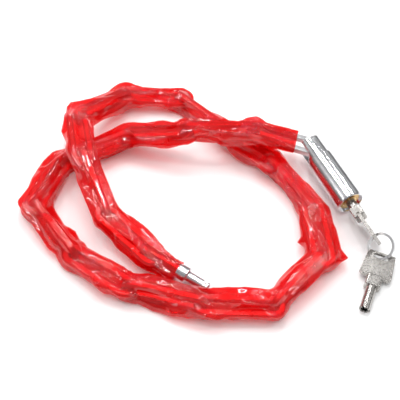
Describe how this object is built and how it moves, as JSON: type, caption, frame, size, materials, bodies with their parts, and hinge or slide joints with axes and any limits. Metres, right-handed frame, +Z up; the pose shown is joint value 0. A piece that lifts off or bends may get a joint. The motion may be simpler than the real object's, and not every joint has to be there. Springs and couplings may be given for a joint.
{
  "type": "chain lock",
  "caption": "Long-link security chain in a clear film sleeve, with a cylindrical tubular-key lock at one end, a forked locking pin at the other, and two keys on a split ring.",
  "frame": {"origin": "on the table under the middle of the box round the whole lock, as it lies in the picture", "axes": "+Z up from the table, +X to the right of the picture, +Y away from the camera"},
  "size_m": [0.2598, 0.2186, 0.039],
  "materials": {
    "chain_steel": "zinc plated, satin",
    "red_film": "clear glossy red film",
    "lock_chrome": "polished, lightly dulled",
    "brass": "machined",
    "core_brass": "machined, darkened",
    "spring_steel": "plain",
    "pin_chrome": "turned and plated",
    "key_nickel": "nickel plated, satin",
    "ring_nickel": "nickel plated"
  },
  "bodies": {
    "chain": {"link_02": "chain_steel", "link_03": "chain_steel", "link_04": "chain_steel", "link_05": "chain_steel", "link_06": "chain_steel", "link_07": "chain_steel", "link_08": "chain_steel", "link_09": "chain_steel", "link_10": "chain_steel", "link_11": "chain_steel", "link_12": "chain_steel", "link_13": "chain_steel", "link_14": "chain_steel", "link_15": "chain_steel", "link_16": "chain_steel", "link_17": "chain_steel", "link_18": "chain_steel", "sleeve_02": "red_film", "sleeve_03": "red_film", "sleeve_04": "red_film", "sleeve_05": "red_film", "sleeve_06": "red_film", "sleeve_07": "red_film", "sleeve_08": "red_film", "sleeve_09": "red_film", "sleeve_10": "red_film", "sleeve_11": "red_film", "sleeve_12": "red_film", "sleeve_13": "red_film", "sleeve_14": "red_film", "sleeve_15": "red_film", "sleeve_16": "red_film", "sleeve_17": "red_film", "sleeve_18": "red_film"},
    "lock_end_link": {"link_01": "chain_steel", "sleeve_lock_end": "red_film"},
    "lock": {"lock_shell": "lock_chrome", "lock_rivet": "lock_chrome", "cylinder_housing": "brass", "driver_pins": "brass", "tumbler_springs": "spring_steel", "spring_plate": "spring_steel", "retaining_pin": "brass"},
    "core": {"cylinder_core": "core_brass", "key_pins": "brass", "locking_cam": "spring_steel"},
    "key_in_lock": {"key_1_bow": "key_nickel", "key_1_barrel": "key_nickel"},
    "ring": {"split_ring": "ring_nickel"},
    "spare_key": {"key_2_bow": "key_nickel", "key_2_barrel": "key_nickel"},
    "pin_end_link": {"link_19": "chain_steel", "sleeve_pin_end": "red_film"},
    "pin": {"locking_pin": "pin_chrome", "pin_rivet": "pin_chrome"}
  },
  "joints": [
    {"name": "lock_end_swing", "type": "hinge", "parent": "chain", "child": "lock_end_link", "pos_m": [0.03961, 0.04341, 0.02753], "axis": [0, 0, 1], "range_deg": [-1, 20], "deforming": ["sleeve_lock_end"]},
    {"name": "lock_swing", "type": "hinge", "parent": "lock_end_link", "child": "lock", "pos_m": [0.08052, 0.0362, 0.01614], "axis": [0.0229, -0.049, 0.9985], "range_deg": [-1, 60]},
    {"name": "core_turn", "type": "hinge", "parent": "lock", "child": "core", "pos_m": [0.08052, 0.0362, 0.01614], "axis": [0.422, -0.905, -0.0541], "range_deg": [-90, 0]},
    {"name": "key_slide", "type": "slide", "parent": "core", "child": "key_in_lock", "axis": [0.422, -0.905, -0.0541], "range_m": [0, 0.014]},
    {"name": "ring_swing", "type": "hinge", "parent": "key_in_lock", "child": "ring", "pos_m": [0.11713, -0.03892, 0.01013], "axis": [-0.7387, -0.1674, -0.6529], "range_deg": [-10, 10]},
    {"name": "spare_key_swing", "type": "hinge", "parent": "ring", "child": "spare_key", "pos_m": [0.12047, -0.0542, 0.00385], "axis": [0.8373, -0.2831, 0.4678], "range_deg": [-1, 6]},
    {"name": "pin_end_swing", "type": "hinge", "parent": "chain", "child": "pin_end_link", "pos_m": [-0.06438, -0.02796, 0.01553], "axis": [0, 0, 1], "range_deg": [0, 20], "deforming": ["sleeve_pin_end"]},
    {"name": "pin_swing", "type": "hinge", "parent": "pin_end_link", "child": "pin", "pos_m": [-0.03592, -0.0545, 0.01056], "axis": [0.1193, -0.0717, 0.9903], "range_deg": [-1, 50], "deforming": ["sleeve_pin_end"]}
  ]
}
